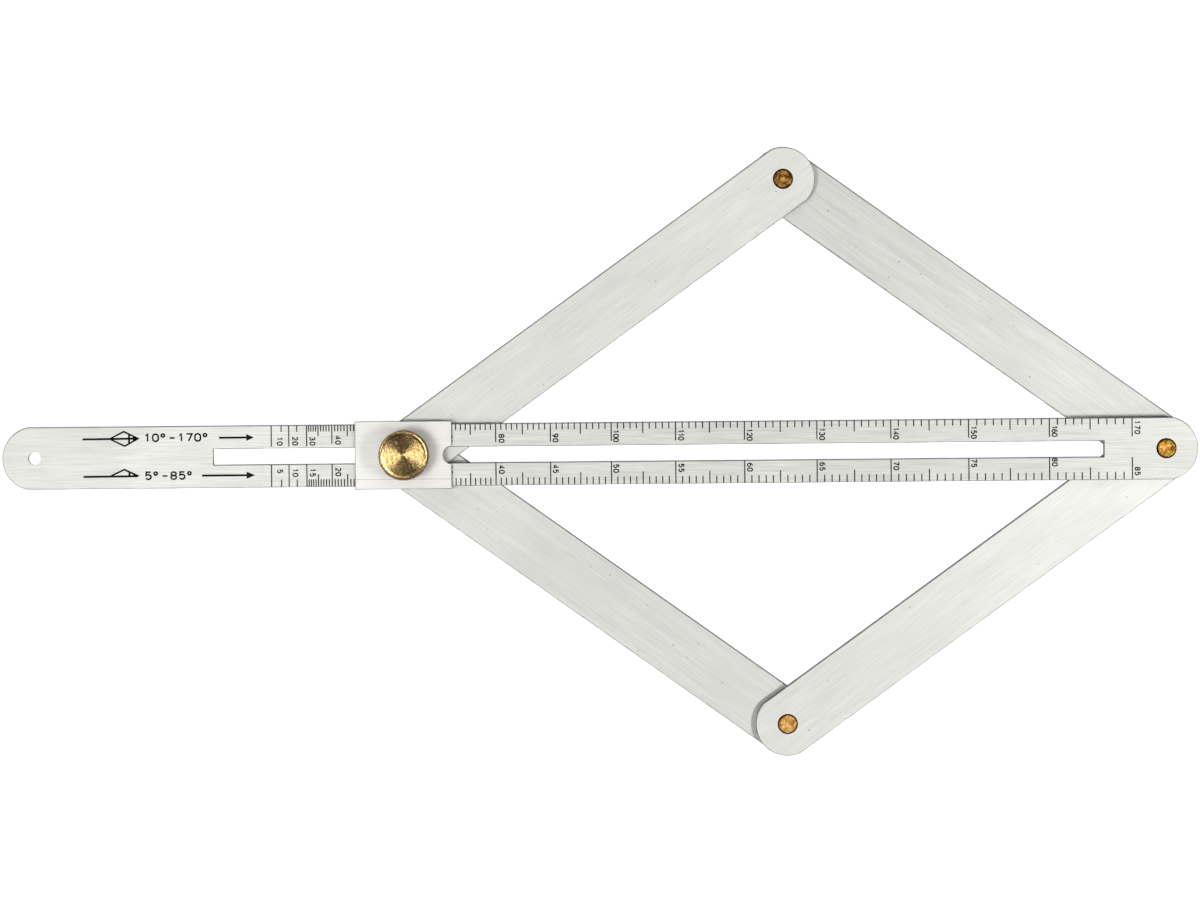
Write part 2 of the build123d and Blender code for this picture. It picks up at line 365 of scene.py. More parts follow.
# The belt's scratches, and how much of the tone the fine ones make
MARK_LENGTH = 16.0
MARK_WIDTH = 0.36
FINE_SHARE = 0.78
DENT_SPACING = 7.0
DENT_SIZE = 0.24
DENT_TONE = 0.7
SMUDGE_SIZE = 22.0
SMUDGE_TONE = 0.14
WEAR_SIZE = 5.0
LINE_FROM = 0.04
LINE_TO = 0.16
LINE_TONE = 0.32
SEAT_REACH = 3.4
SEAT_FLOOR = -0.14
SEAT_BRIM = -0.02
# The belt ran askew by this slope from straight along the strip
BELT_LEAN = 0.1
ALUMINIUM_ROUGHNESS = (0.62, 0.72)


def line_mask(tree, local, line_at):
    """Fine line along a strip, at a distance from its middle."""
    off_line = calculate(tree, "ABSOLUTE", calculate(tree, "SUBTRACT", parts_of(tree, local)[1], line_at))
    return remap(tree, off_line, LINE_FROM, LINE_TO, LINE_TONE, 0.0)


def slot_roll(tree, local):
    """Painted shade below the slot, beside its lower edge that faces +Y: 1 at that edge and 0 further
    down, between its ends.
    """
    along, aside, _ = parts_of(tree, local)
    below = calculate(tree, "SUBTRACT", -SLOT_HALF, aside)
    near = remap(tree, below, EDGE_SHADE_FROM, EDGE_SHADE_TO, 1.0, 0.0)
    under = calculate(tree, "GREATER_THAN", below, 0.0)
    past_left = calculate(tree, "GREATER_THAN", along, SLOT_LEFT)
    before_right = calculate(tree, "LESS_THAN", along, SLOT_RIGHT)
    within = calculate(tree, "MULTIPLY", past_left, before_right)
    return calculate(tree, "MULTIPLY", near, calculate(tree, "MULTIPLY", under, within))


def edge_tones(tree, face, wear):
    """A face's colour with its walls painted dark as shade, and with edge breaks that are grey, painted
    dark as shade on the side that faces +Y, and brighter where they are worn."""
    edge = use_group(tree, edge_finish, {"Normal": coordinates_of(tree, "Normal")})
    # Upright walls: a dark tone that is painted shade
    walled = blend_colours(tree, edge.outputs["Wall"], face, WALL_TONE)
    near_rim = blend_colours(tree, wear, EDGE_TONE, WORN_EDGE_TONE)
    # Edge breaks that face +Y: painted shade, lighter where worn
    far_rim = blend_colours(tree, wear, SHADED_EDGE_TONE, WORN_SHADED_EDGE_TONE)
    rim = blend_colours(tree, edge.outputs["Shaded Side"], near_rim, far_rim)
    return blend_colours(tree, edge.outputs["Break"], walled, rim)


def seat_grime(tree, colour, seat):
    """A colour with painted shade in a rivet's seat: below the face, within a reach of the rivet's axis."""
    per_mm = (1.0 / MM, 1.0 / MM, 1.0 / MM)
    centre = tuple(-part / MM for part in seat)
    from_seat = stretch(tree, coordinates_of(tree, "Object"), per_mm, centre)
    reach = vector_math(tree, "LENGTH", stretch(tree, from_seat, (1.0, 1.0, 0.0)))["Value"]
    near = calculate(tree, "LESS_THAN", reach, SEAT_REACH)
    deep = remap(tree, parts_of(tree, from_seat)[2], SEAT_FLOOR, SEAT_BRIM, 1.0, 0.0)
    # Below the face and near the rivet: painted shade in the seat's gap
    return blend_colours(tree, calculate(tree, "MULTIPLY", near, deep), colour, SEAT_SHADE_TONE)


def brushed_aluminium(
    name,
    centre,
    turn,
    seed,
    light,
    dark,
    pit_share,
    seat=None,
    line_at=None,
    half_length=None,
    slotted=False,
    edge_shade_share=0.7,
):
    """Belt-finished aluminium: streaks along the strip in colour, roughness and a shallow relief,
    small dents and cloudy smudges, and what its edges and a rivet's seat add, much of it painted shade.
    A scribed line may run along the strip. With a half length a band of painted shade runs in from the
    outline on the sides that face +Y, to a share of its tone, and on a slotted strip below the slot too."""
    material, tree, shader, local = start_material(name, centre, turn)
    belt = {"Vector": local, "Mark Length": MARK_LENGTH, "Mark Width": MARK_WIDTH, "Seed": seed}
    marks = use_group(tree, brush_marks, belt)
    dents = {"Vector": local, "Spacing": DENT_SPACING, "Size": DENT_SIZE, "Share": pit_share, "Seed": seed}
    spots = use_group(tree, pits, dents)
    smudge = use_group(tree, handling_dust, {"Vector": local, "Patch Size": SMUDGE_SIZE, "Seed": seed})
    wear = use_group(tree, handling_dust, {"Vector": local, "Patch Size": WEAR_SIZE, "Seed": seed + 6.0})
    fine_tone = calculate(tree, "MULTIPLY", marks.outputs["Fine"], FINE_SHARE)
    tone = calculate(tree, "MULTIPLY_ADD", marks.outputs["Broad"], 1.0 - FINE_SHARE, fine_tone)
    haze = calculate(tree, "MULTIPLY", smudge.outputs["Mask"], SMUDGE_TONE)
    colour = blend_colours(tree, haze, blend_colours(tree, tone, dark, light), tinted(dark, 0.9))
    mark = calculate(tree, "MULTIPLY", spots.outputs["Mask"], DENT_TONE)
    if line_at is not None:
        mark = calculate(tree, "MAXIMUM", mark, line_mask(tree, local, line_at))
    colour = blend_colours(tree, mark, colour, PIT_TONE)
    if half_length is not None:
        # A band of painted shade along the outline's sides that face +Y, and below the slot
        outline = {"Vector": local, "Half Length": half_length, "Up": (sin(turn), cos(turn), 0.0)}
        roll = use_group(tree, edge_shade_band, outline).outputs["Mask"]
        if slotted:
            roll = calculate(tree, "MAXIMUM", roll, slot_roll(tree, local))
        colour = blend_colours(tree, calculate(tree, "MULTIPLY", roll, edge_shade_share), colour, EDGE_SHADE_TONE)
    colour = edge_tones(tree, colour, wear.outputs["Mask"])
    if seat is not None:
        colour = seat_grime(tree, colour, seat)
    sheen = calculate(tree, "MULTIPLY_ADD", smudge.outputs["Mask"], 0.5, tone)
    relief = calculate(tree, "SUBTRACT", tone, calculate(tree, "MULTIPLY", mark, 3.0))
    roughness = remap(tree, sheen, 0.0, 1.5, *ALUMINIUM_ROUGHNESS)
    shade(tree, shader, colour, roughness, relief, 0.2, 0.015)
    askew = (BELT_LEAN * cos(turn) - sin(turn), BELT_LEAN * sin(turn) + cos(turn), 0.0)
    spaces = {"vector_type": "VECTOR", "convert_from": "OBJECT", "convert_to": "WORLD"}
    across = add_node(tree, "ShaderNodeVectorTransform", {0: askew}, **spaces)
    tree.links.new(across.outputs[0], shader.inputs["Tangent"])
    tune(shader, Metallic=0.92, Anisotropic=0.5)
    return material


# Rings, smudges and flecks of the turned face, and how much of the tone the rings make
RING_DENSITY = 4.2
RING_SHARE = 0.3
KNOB_SMUDGE_SIZE = 3.5
FLECK_SPACING = 0.6
FLECK_SIZE = 0.2
FLECK_SHARE = 0.5
FLECK_HEIGHT = 4.0
# Roughness of the turned face, and how far its bright and dull grains stand from it
KNOB_SHINE = 0.25
KNOB_POLISH = 0.04
# Quarter turn for a shine along the radius, plus the lean of the lathe's marks
KNOB_SHINE_TURN = 0.295


def turned_brass(name, centre, bright, dull, rim_from, rim_to, rim_tone):
    """Lathe-turned brass: rings, grain and small flecks, a shine that runs out along the radius,
    and a darker tone that sets in over the rim between two distances from the axis, in millimetres."""
    material, tree, shader, local = start_material(name, centre)
    rings = use_group(tree, turning_marks, {"Vector": local, "Rings": RING_DENSITY, "Seed": 1.7})
    smudge = use_group(tree, handling_dust, {"Vector": local, "Patch Size": KNOB_SMUDGE_SIZE, "Seed": 5.0})
    dots = {"Vector": local, "Spacing": FLECK_SPACING, "Size": FLECK_SIZE, "Share": FLECK_SHARE, "Seed": 8.0}
    flecks = use_group(tree, pits, dots)
    ring_tone = calculate(tree, "MULTIPLY", rings.outputs["Ring"], RING_SHARE)
    tone = calculate(tree, "MULTIPLY_ADD", rings.outputs["Speck"], 1.0 - RING_SHARE, ring_tone)
    haze = calculate(tree, "MULTIPLY", smudge.outputs["Mask"], 0.25)
    stained = blend_colours(tree, haze, blend_colours(tree, tone, dull, bright), tinted(dull, 0.7))
    knurl = remap(tree, rings.outputs["Reach"], rim_from, rim_to, 0.0, 1.0)
    colour = blend_colours(tree, knurl, stained, rim_tone)
    polish = remap(tree, tone, 0.0, 1.0, KNOB_SHINE + KNOB_POLISH, KNOB_SHINE - KNOB_POLISH)
    relief = calculate(tree, "MULTIPLY_ADD", flecks.outputs["Mask"], FLECK_HEIGHT, tone)
    shade(tree, shader, colour, polish, relief, 0.3, 0.005)
    tangent = add_node(tree, "ShaderNodeTangent", direction_type="RADIAL", axis="Z")
    tree.links.new(tangent.outputs[0], shader.inputs["Tangent"])
    tune(shader, Metallic=1.0, Anisotropic=0.9, Anisotropic_Rotation=KNOB_SHINE_TURN)
    return material


# Patches of tarnish and grains on a rivet, its lighter heart, and how soft its rim of painted shade is
TARNISH_SIZE = 1.6
GRIT_SIZE = 0.6
HEART_FROM = 0.2
HEART_TO = 1.3
RIM_SOFTNESS = 0.1
RIVET_ROUGHNESS = (0.42, 0.6)


def hammered_brass(name, centre, seed, bright, dull, stain=0.0, rim_from=None):
    """Brass of a set rivet: gold on its high spots, brown tarnish in patches and fine grains that a
    stain spreads, a lighter heart, and round the head a dark rim of painted shade from a distance off
    the axis, in millimetres."""
    material, tree, shader, local = start_material(name, centre)
    tarnish = use_group(tree, handling_dust, {"Vector": local, "Patch Size": TARNISH_SIZE, "Seed": seed})
    grit = use_group(tree, handling_dust, {"Vector": local, "Patch Size": GRIT_SIZE, "Seed": seed + 3.0})
    rings = use_group(tree, turning_marks, {"Vector": local, "Rings": 1.4, "Seed": seed})
    heart = remap(tree, rings.outputs["Reach"], HEART_FROM, HEART_TO, stain - 0.45, stain + 0.1)
    grains = calculate(tree, "MULTIPLY_ADD", grit.outputs["Mask"], 0.6, heart)
    brown = calculate(tree, "MULTIPLY_ADD", tarnish.outputs["Mask"], 0.85, grains, clamp=True)
    metal = blend_colours(tree, brown, bright, dull)
    if rim_from is not None:
        # Painted shade round the head's outer rim
        outer = remap(tree, rings.outputs["Reach"], rim_from, rim_from + RIM_SOFTNESS, 0.0, 1.0)
        on_head = calculate(tree, "GREATER_THAN", parts_of(tree, local)[2], 0.0)
        metal = blend_colours(tree, calculate(tree, "MULTIPLY", outer, on_head), metal, tinted(dull, 0.12))
    roughness = remap(tree, brown, 0.0, 1.0, *RIVET_ROUGHNESS)
    shade(tree, shader, metal, roughness, grit.outputs["Mask"], 0.5, 0.05)
    tune(shader, Metallic=1.0)
    return material


def plain_finish(name, light, dark, patch, rough):
    """Moulded or printed finish: two close tones in soft patches, with a roughness to match."""
    material, tree, shader, local = start_material(name)
    cloud = use_group(tree, handling_dust, {"Vector": local, "Patch Size": patch, "Seed": 2.0})
    grain = use_group(tree, handling_dust, {"Vector": local, "Patch Size": patch * 0.08, "Seed": 9.0})
    mixed = calculate(tree, "MULTIPLY", grain.outputs["Mask"], 0.5)
    mask = calculate(tree, "MAXIMUM", cloud.outputs["Mask"], mixed)
    colour = blend_colours(tree, mask, light, dark)
    shade(tree, shader, colour, remap(tree, mask, 0.0, 1.0, rough, rough + 0.14), mixed, 0.15, 0.01)
    return material


# ---------------------------------------------------------------- places of the joints
def middle(node):
    """Centre of a CAD node's box."""
    low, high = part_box(node)
    return (low + high) / 2


clamp = middle("clamp_knob")
corner_top = middle("top_rivet")
corner_bottom = middle("bottom_rivet")
ruler_pivot = middle("ruler_rivet")
ruler_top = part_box("scale_ruler")[1].z


def between(first, second):
    """Mid-point of two pivots and the turn of the line from one to the other about Z."""
    gap = second - first
    return tuple((first + second) / 2), atan2(gap.y, gap.x)


# ---------------------------------------------------------------- finishes of the CAD pieces
def dress(node, material):
    """Gives a CAD node its material."""
    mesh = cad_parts[node].data
    mesh.materials.clear()
    mesh.materials.append(material)


ARM_LIGHT = (0.905, 0.91, 0.887)
ARM_DARK = (0.745, 0.753, 0.734)
# Pivots at the arm's ends, the seed of its marks, its share of dents, and its tone
ARMS = {
    "upper_left_arm": (clamp, corner_top, 3.0, 0.3, 1.0),
    "lower_right_arm": (ruler_pivot, corner_bottom, 11.0, 0.12, 1.0),
    "upper_right_arm": (ruler_pivot, corner_top, 19.0, 0.3, 1.0),
    "lower_left_arm": (clamp, corner_bottom, 27.0, 0.42, 0.93),
}
for arm, (start, end, seed, pit_share, tone) in ARMS.items():
    centre, turn = between(start, end)
    arm_finish = brushed_aluminium(
        f"brushed_{arm}",
        centre,
        turn,
        seed,
        tinted(ARM_LIGHT, tone),
        tinted(ARM_DARK, tone),
        pit_share,
        seat=(end.x, end.y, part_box(arm)[1].z),
        half_length=(end - start).length / 2 / MM,
    )
    dress(arm, arm_finish)

RULER_LIGHT = (0.935, 0.937, 0.91)
RULER_DARK = (0.705, 0.712, 0.69)
ruler_finish = brushed_aluminium(
    "brushed_ruler",
    (0.0, 0.0, ruler_top),
    0.0,
    35.0,
    RULER_LIGHT,
    RULER_DARK,
    0.02,
    seat=(ruler_pivot.x, ruler_pivot.y, ruler_top),
    half_length=ruler_pivot.x / MM,
    slotted=True,
    edge_shade_share=0.38,
)
dress("scale_ruler", ruler_finish)

SLIDER_LIGHT = (0.957, 0.954, 0.922)
SLIDER_DARK = (0.865, 0.863, 0.836)
SCRIBED_LINE = -7.7
slider_finish = brushed_aluminium(
    "brushed_slider",
    tuple(middle("slider")),
    0.0,
    43.0,
    SLIDER_LIGHT,
    SLIDER_DARK,
    0.0,
    line_at=SCRIBED_LINE,
)
dress("slider", slider_finish)

nylon = plain_finish("washer_nylon", (0.82, 0.81, 0.77), (0.72, 0.71, 0.66), 3.0, 0.42)
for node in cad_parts:
    if "washer" in node and node != "knob_washer":
        dress(node, nylon)
screw_brass = hammered_brass("screw_brass", tuple(clamp), 2.0, (0.8, 0.58, 0.22), (0.42, 0.27, 0.09))
dress("clamp_screw", screw_brass)


# ---------------------------------------------------------------- mesh helpers
def make_object(name, corners, faces, material, body, crease=None):
    """Mesh object at the origin from corner positions (n, 3) and a list of faces, flat shaded, or
    smooth shaded between faces that meet at less than the crease angle, in degrees."""
    mesh = bpy.data.meshes.new(name)
    mesh.from_pydata(corners.tolist(), [], faces)
    mesh.update()
    if crease is not None:
        mesh.shade_smooth()
        mesh.set_sharp_from_angle(angle=radians(crease))
    mesh.materials.append(material)
    piece = bpy.data.objects.new(name, mesh)
    bpy.context.collection.objects.link(piece)
    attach(piece, body)
    return piece


def lathe(reach, height, sweep, centre):
    """Closed surface round an upright axis: row i, column j stands at distance reach[i, j] from the
    axis in direction sweep[j], at height[i, j]. Rows run from the top outwards and down to the
    bottom, and one pole corner closes each end."""
    rows, columns = reach.shape
    body = np.stack([reach * np.cos(sweep), reach * np.sin(sweep), height], 2).reshape(-1, 3)
    poles = np.array([[0.0, 0.0, height[0].mean()], [0.0, 0.0, height[-1].mean()]])
    corners = np.vstack([body, poles]) * MM + np.array(centre)
    column = np.arange(columns)
    beside = (column + 1) % columns
    row = np.arange(rows - 1)[:, None] * columns
    quads = np.stack([row + column, row + columns + column, row + columns + beside, row + beside], 2)
    last = (rows - 1) * columns
    top_pole = rows * columns
    top_fan = np.stack([np.full(columns, top_pole), column, beside], 1)
    bottom_fan = np.stack([np.full(columns, top_pole + 1), last + beside, last + column], 1)
    return corners, quads.reshape(-1, 4).tolist() + top_fan.tolist() + bottom_fan.tolist()


def rounded(reach_in, height_in, reach_out, height_out, steps):
    """Quarter of an ellipse that leaves one profile point level and meets the next one upright."""
    turn = np.linspace(0.0, pi / 2, steps)
    reach = reach_in + (reach_out - reach_in) * np.sin(turn)
    height = height_in + (height_out - height_in) * (1.0 - np.cos(turn))
    return np.stack([reach, height], 1)


# ---------------------------------------------------------------- clamp knob
KNOB_RADIUS = 8.0
KNOB_HEIGHT = 8.0
KNOB_BEVEL = 0.5
KNOB_HUB_RADIUS = 5.6
KNOB_HUB_HEIGHT = 1.0
KNOB_HUB_BEVEL = 0.12
KNOB_BORE_RADIUS = 2.5
KNOB_BORE_DEPTH = 6.0
GROOVE_DEPTH = 0.025
KNURL_TEETH = 100
KNURL_DEPTH = 0.22
# Where the groove's bottom, flanks and crest stand within one tooth, and how deep the cut is there
TOOTH_PHASES = np.array([0.0, 0.22, 0.4375, 0.5625, 0.78])
TOOTH_CUT = np.array([1.0, 0.5, 0.0, 0.0, 0.5])


def make_knob(material):
    """Thumb nut: a profile of face, bevels, rim, hub and blind bore carried round the axis. Along the
    rim each point keeps the smaller of its profile radius and the knurl's, a V cut per tooth."""
    top = KNOB_HEIGHT
    face = KNOB_RADIUS - KNOB_BEVEL
    hub = KNOB_HUB_RADIUS
    dimple = [(0.12, top - 0.09), (0.28, top - 0.05), (0.4, top)]
    disc = [(reach, top) for reach in np.linspace(0.8, face - 0.42, 8)]
    groove = [(face - 0.36, top - GROOVE_DEPTH), (face - 0.3, top - GROOVE_DEPTH), (face - 0.24, top)]
    bevel = [(face + step, top - step) for step in np.linspace(0.0, KNOB_BEVEL, 5)]
    rim_levels = np.linspace(top - KNOB_BEVEL - 0.05, KNOB_HUB_HEIGHT + KNOB_BEVEL + 0.05, 5)
    rim = [(KNOB_RADIUS, level) for level in rim_levels]
    under = [(face + step, KNOB_HUB_HEIGHT + step) for step in np.linspace(KNOB_BEVEL, 0.0, 5)]
    waist = [(hub + 0.1, KNOB_HUB_HEIGHT), (hub, KNOB_HUB_HEIGHT - 0.1)]
    foot = [(hub, KNOB_HUB_BEVEL), (hub - KNOB_HUB_BEVEL, 0.0), (KNOB_BORE_RADIUS + 0.2, 0.0)]
    bore = [(KNOB_BORE_RADIUS, 0.2), (KNOB_BORE_RADIUS, KNOB_BORE_DEPTH), (0.1, KNOB_BORE_DEPTH)]
    profile = np.array(dimple + disc + groove + bevel + rim + under + waist + foot + bore)
    phase = (np.arange(KNURL_TEETH)[:, None] + TOOTH_PHASES).ravel()
    sweep = phase * 2 * pi / KNURL_TEETH
    knurl = KNOB_RADIUS - KNURL_DEPTH * np.tile(TOOTH_CUT, KNURL_TEETH)
    reach = np.minimum(profile[:, :1], knurl)
    height = np.repeat(profile[:, 1:], len(sweep), 1)
    corners, faces = lathe(reach, height, sweep, (clamp.x, clamp.y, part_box("clamp_knob")[0].z))
    return make_object("knurled_knob", corners, faces, material, "clamp_knob", 35.0)


KNOB_BRIGHT = (0.77, 0.555, 0.265)
KNOB_DULL = (0.17, 0.094, 0.025)
KNURL_RIM_TONE = (0.12, 0.065, 0.028)
RIM_DARK_FROM = KNOB_RADIUS - 0.44
RIM_DARK_TO = KNOB_RADIUS - 0.3
knob_brass = turned_brass(
    "turned_brass", tuple(clamp), KNOB_BRIGHT, KNOB_DULL, RIM_DARK_FROM, RIM_DARK_TO, KNURL_RIM_TONE
)
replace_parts(make_knob(knob_brass), "clamp_knob")
dress("knob_washer", knob_brass)

# ---------------------------------------------------------------- rivets
RIVET_COLUMNS = 96
FOOT_RADIUS = 4.0
FOOT_THICKNESS = 1.0
FOOT_ROUNDING = 0.4
FOOT_BEVEL = 0.08
SHANK_RADIUS = 2.25
HEAD_RADIUS = 2.9
HEAD_THICKNESS = 1.4
HEAD_ROUNDING = 0.3
# Lip and crater that the setting tool leaves on the head
LIP_REACH = 2.3
LIP_WIDTH = 0.2
LIP_HEIGHT = 0.05
CRATER_WIDTH = 1.5
CRATER_DEPTH = 0.06
# Hammer blows on the head: how many, how far from the axis, and their widths and levels
BLOWS = 9
BLOW_SPREAD = 1.7
BLOW_WIDTHS = (0.3, 0.8)
BLOW_LEVELS = (-0.08, 0.04)
CALM_REACH = 2.6


def hammered_level(across, along, seed):
    """Height of a set rivet's face: a low rolled lip near the rim, a shallow crater, and a handful of
    hammer blows, each a round dent of its own place, width and depth taken from the seed. All fade
    out towards the rim."""
    draw = np.random.default_rng(seed)
    reach = np.hypot(across, along)
    lip = LIP_HEIGHT * np.exp(-(((reach - LIP_REACH) / LIP_WIDTH) ** 2))
    crater = -CRATER_DEPTH * np.exp(-((reach / CRATER_WIDTH) ** 2))
    places = draw.uniform(-BLOW_SPREAD, BLOW_SPREAD, (BLOWS, 2))
    widths = draw.uniform(*BLOW_WIDTHS, BLOWS)
    levels = draw.uniform(*BLOW_LEVELS, BLOWS)
    gap = np.hypot(across[..., None] - places[:, 0], along[..., None] - places[:, 1])
    dents = np.sum(levels * np.exp(-((gap / widths) ** 2)), -1)
    calm = np.clip(1.0 - (reach / CALM_REACH) ** 6, 0.0, 1.0)
    return (lip + crater + dents) * calm


def make_rivet(node, body, seed, material):
    """Set rivet: a profile of hammered head, shank and flat foot carried round the axis."""
    centre = middle(node)
    low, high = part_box(node)
    top = (high.z - low.z) / MM
    seat = top - HEAD_THICKNESS
    face = HEAD_RADIUS - HEAD_ROUNDING
    disc = np.stack([np.linspace(0.12, face, 20), np.full(20, top)], 1)
    shoulder = rounded(face, top, HEAD_RADIUS, top - HEAD_ROUNDING, 6)[1:]
    sides = [(HEAD_RADIUS, seat), (SHANK_RADIUS, seat), (SHANK_RADIUS, FOOT_THICKNESS)]
    foot = [(FOOT_RADIUS - FOOT_BEVEL, FOOT_THICKNESS), (FOOT_RADIUS, FOOT_THICKNESS - FOOT_BEVEL)]
    sole = rounded(FOOT_RADIUS - FOOT_ROUNDING, 0.0, FOOT_RADIUS, FOOT_ROUNDING, 6)[::-1]
    end = [(2.0, 0.0), (0.2, 0.0)]
    profile = np.vstack([disc, shoulder, sides, foot, sole, end])
    sweep = np.arange(RIVET_COLUMNS) * 2 * pi / RIVET_COLUMNS
    reach = np.repeat(profile[:, :1], RIVET_COLUMNS, 1)
    height = np.repeat(profile[:, 1:], RIVET_COLUMNS, 1)
    rows = slice(0, len(disc))
    height[rows] += hammered_level(reach[rows] * np.cos(sweep), reach[rows] * np.sin(sweep), seed)
    corners, faces = lathe(reach, height, sweep, (centre.x, centre.y, low.z))
    piece = make_object(f"{node}_set", corners, faces, material, body, 50.0)
    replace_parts(piece, node)


# Body that each rivet rides on, the seed of its blows, its bright and dull tones, and its stain
RIVETS = {
    "top_rivet": ("upper_left_arm", 4, (0.72, 0.41, 0.11), (0.12, 0.042, 0.006), 0.22),
    "bottom_rivet": ("lower_right_arm", 8, (0.93, 0.58, 0.2), (0.36, 0.165, 0.03), 0.12),
    "ruler_rivet": ("ruler", 6, (0.88, 0.53, 0.12), (0.22, 0.09, 0.01), 0.3),
}
# Painted shade round each rivet's head begins this far from its axis
DARK_RIM_FROM = 2.72
for rivet, (body, seed, bright, dull, stain) in RIVETS.items():
    place = tuple(middle(rivet))
    rivet_brass = hammered_brass(f"{rivet}_brass", place, float(seed), bright, dull, stain, DARK_RIM_FROM)
    make_rivet(rivet, body, seed, rivet_brass)


# ---------------------------------------------------------------- ink
INK_HEIGHT = 0.02
INK_SINK = 0.01
INK_BASE = ruler_top / MM - INK_SINK
INK_TOP = ruler_top / MM + INK_HEIGHT
MITRE_LIMIT = 0.55
ink = plain_finish("etched_ink", (0.004, 0.005, 0.006), (0.012, 0.013, 0.015), 8.0, 0.66)
tune(ink.node_tree.nodes["Principled BSDF"], Specular_IOR_Level=0.12)


def unit_rows(rows):
    """Each row of an array scaled to a length of one."""
    return rows / np.linalg.norm(rows, axis=1)[:, None]


def ribbon(points, width, closed=False):
    """Flat stroke along a path: at each point the path's side vector, mitred, gives two edges at the
    ink's base and two at its top; the four edge lines are skinned and the ends are capped."""
    path = np.asarray(points, float)
    ahead = np.roll(path, -1, 0) - path
    behind = path - np.roll(path, 1, 0)
    if not closed:
        ahead[-1] = behind[-1]
        behind[0] = ahead[0]
    side_ahead = unit_rows(ahead)[:, ::-1] * (-1.0, 1.0)
    side_behind = unit_rows(behind)[:, ::-1] * (-1.0, 1.0)
    side = unit_rows(side_ahead + side_behind)
    mitre = np.clip(np.sum(side * side_ahead, 1), MITRE_LIMIT, 1.0)[:, None]
    spread = side * (width / 2) / mitre
    left = path + spread
    right = path - spread
    count = len(path)
    low = np.full((count, 1), INK_BASE)
    high = np.full((count, 1), INK_TOP)
    edges = [np.hstack(pair) for pair in ((left, low), (right, low), (right, high), (left, high))]
    steps = np.arange(count if closed else count - 1)[:, None] * 4
    following = (steps + 4) % (count * 4)
    around = np.arange(4)
    beside = (around + 1) % 4
    quads = np.stack([steps + around, steps + beside, following + beside, following + around], 2)
    faces = quads.reshape(-1, 4).tolist()
    if not closed:
        last = (count - 1) * 4
        faces += [[3, 2, 1, 0], [last, last + 1, last + 2, last + 3]]
    return np.stack(edges, 1).reshape(-1, 3), faces


def slab(points):
    """Flat filled shape: a convex outline, counter-clockwise, at the ink's base and at its top, with
    a wall between the two."""
    outline = np.asarray(points, float)
    count = len(outline)
    low = np.hstack([outline, np.full((count, 1), INK_BASE)])
    high = np.hstack([outline, np.full((count, 1), INK_TOP)])
    corner = np.arange(count)
    beside = (corner + 1) % count
    walls = np.stack([corner, beside, beside + count, corner + count], 1).tolist()
    return np.vstack([low, high]), walls + [corner[::-1].tolist(), (corner + count).tolist()]


def arc(x, y, reach_x, reach_y, start, end, steps=10):
    """Points along an ellipse's arc from one angle to another, in degrees."""
    sweep = np.radians(np.linspace(start, end, steps))
    return np.stack([x + reach_x * np.cos(sweep), y + reach_y * np.sin(sweep)], 1)


def joined(*runs):
    """One path through several runs of points."""
    return np.vstack([np.atleast_2d(run) for run in runs])


# Strokes of each numeral in a unit box, first number across and second up, and whether each closes
NUMERALS = {
    "0": [(joined(arc(0.5, 0.68, 0.5, 0.32, 0, 180), arc(0.5, 0.32, 0.5, 0.32, 180, 360)), True)],
    "1": [(joined([0.22, 0.76], [0.6, 1.0], [0.6, 0.0]), False)],
    "2": [(joined(arc(0.5, 0.7, 0.48, 0.3, 165, -28), [0.02, 0.0], [1.0, 0.0]), False)],
    "3": [
        (arc(0.46, 0.755, 0.44, 0.245, 155, -88), False),
        (arc(0.46, 0.265, 0.52, 0.265, 92, -155), False),
    ],
    "4": [(joined([0.74, 0.0], [0.74, 1.0], [0.0, 0.28], [1.0, 0.28]), False)],
    "5": [(joined([0.92, 1.0], [0.14, 1.0], [0.08, 0.56], arc(0.48, 0.33, 0.5, 0.33, 110, -150)), False)],
    "6": [
        (arc(0.5, 0.31, 0.5, 0.31, 0, 345, 18), True),
        (arc(0.62, 0.42, 0.6, 0.58, 178, 78), False),
    ],
    "7": [(joined([0.0, 1.0], [1.0, 1.0], [0.36, 0.0]), False)],
    "8": [
        (arc(0.5, 0.75, 0.45, 0.25, 0, 345, 16), True),
        (arc(0.5, 0.26, 0.5, 0.26, 0, 345, 16), True),
    ],
    "9": [
        (arc(0.5, 0.69, 0.5, 0.31, 0, 345, 18), True),
        (arc(0.38, 0.58, 0.6, 0.58, -2, -102), False),
    ],
    "degree": [(arc(0.3, 0.8, 0.3, 0.215, 0, 330, 10), True)],
    "dash": [(joined([0.0, 0.45], [0.9, 0.45]), False)],
}


